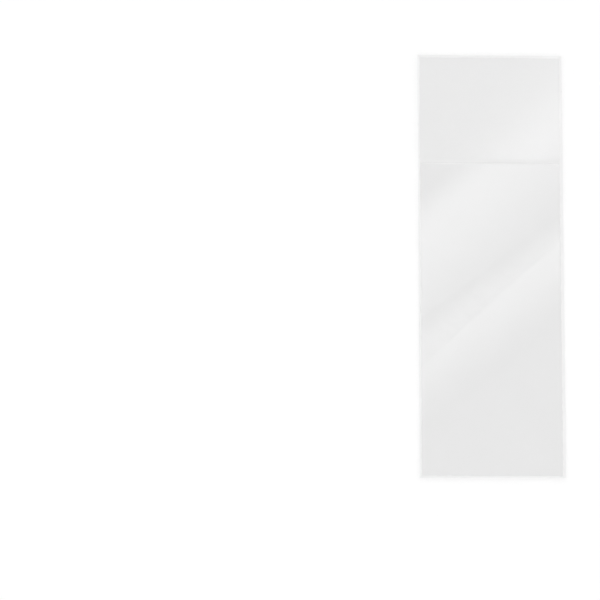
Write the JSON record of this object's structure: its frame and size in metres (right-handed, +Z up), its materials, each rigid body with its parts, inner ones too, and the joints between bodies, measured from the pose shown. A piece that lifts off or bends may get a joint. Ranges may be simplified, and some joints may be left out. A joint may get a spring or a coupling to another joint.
{
  "type": "microscope slide",
  "caption": "Flat rectangular glass plate with cut edges and a frosted end to write on, which carries a specimen under a microscope.",
  "frame": {"origin": "middle of the lower face, on the plane that the slide rests on", "axes": "+Z up out of the upper face, +Y along the length towards the frosted end, +X across the width"},
  "size_m": [0.026, 0.076, 0.001],
  "materials": {
    "glass": "clear and polished, frosted on both faces at the +Y end, with clean-broken edges under a frosty scored band"
  },
  "bodies": {
    "root": {"slide": "glass"}
  },
  "joints": []
}
